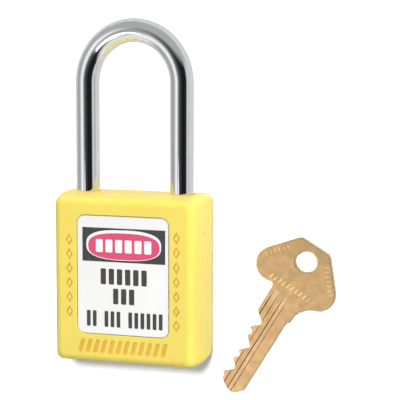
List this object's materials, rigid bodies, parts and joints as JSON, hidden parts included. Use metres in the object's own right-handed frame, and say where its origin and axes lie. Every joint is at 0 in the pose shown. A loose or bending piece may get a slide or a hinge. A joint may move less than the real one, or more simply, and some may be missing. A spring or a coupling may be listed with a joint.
{
  "type": "safety lockout padlock",
  "caption": "Plastic-bodied safety lockout padlock with a chromed shackle, a printed label and a pin cylinder, with its brass key beside it.",
  "frame": {"origin": "centre of the body's flat back face, which the lock lies on", "axes": "+X to the right seen from the front, +Y towards the shackle, +Z out of the front face"},
  "size_m": [0.0727, 0.1005, 0.02],
  "materials": {
    "yellow_plastic": "satin moulded",
    "label_film": "printed film",
    "chromed_steel": "polished",
    "steel": "ground",
    "spring_steel": "drawn wire",
    "brass": "satin"
  },
  "bodies": {
    "body": {"body_shell": "yellow_plastic", "front_label": "label_film", "cylinder_shell": "brass", "spring_cover": "brass", "cylinder_screw": "steel", "shackle_spring": "spring_steel", "driver_pin_1": "brass", "driver_pin_2": "brass", "driver_pin_3": "brass", "driver_pin_4": "brass", "driver_pin_5": "brass", "driver_pin_6": "brass", "pin_spring_1": "spring_steel", "pin_spring_2": "spring_steel", "pin_spring_3": "spring_steel", "pin_spring_4": "spring_steel", "pin_spring_5": "spring_steel", "pin_spring_6": "spring_steel"},
    "shackle": {"shackle": "chromed_steel"},
    "plug": {"plug": "brass", "plug_clip": "spring_steel", "cam": "steel", "key_pin_1": "brass", "key_pin_2": "brass", "key_pin_3": "brass", "key_pin_4": "brass", "key_pin_5": "brass", "key_pin_6": "brass"},
    "ball_left": {"ball_left": "steel"},
    "ball_right": {"ball_right": "steel"},
    "key": {"key": "brass"}
  },
  "joints": [
    {"name": "shackle_lift", "type": "slide", "parent": "body", "child": "shackle", "axis": [0, 1, 0], "range_m": [0, 0.0105], "deforming": ["shackle_spring"]},
    {"name": "plug_turn", "type": "hinge", "parent": "body", "child": "plug", "pos_m": [0, -0.02265, 0.01], "axis": [0, 1, 0], "range_deg": [0, 90]},
    {"name": "ball_left_slide", "type": "slide", "parent": "body", "child": "ball_left", "axis": [-1, 0, 0], "range_m": [0, 0.0013]},
    {"name": "ball_right_slide", "type": "slide", "parent": "body", "child": "ball_right", "axis": [1, 0, 0], "range_m": [0, 0.0013]},
    {"name": "key_lift", "type": "slide", "parent": "body", "child": "key", "axis": [0, 0, 1], "range_m": [0, 0.06]}
  ],
  "couplings": [
    {"joint": "ball_left_slide", "follows": "plug_turn", "m_per_rad": 0.0008276},
    {"joint": "ball_right_slide", "follows": "plug_turn", "m_per_rad": 0.0008276}
  ]
}
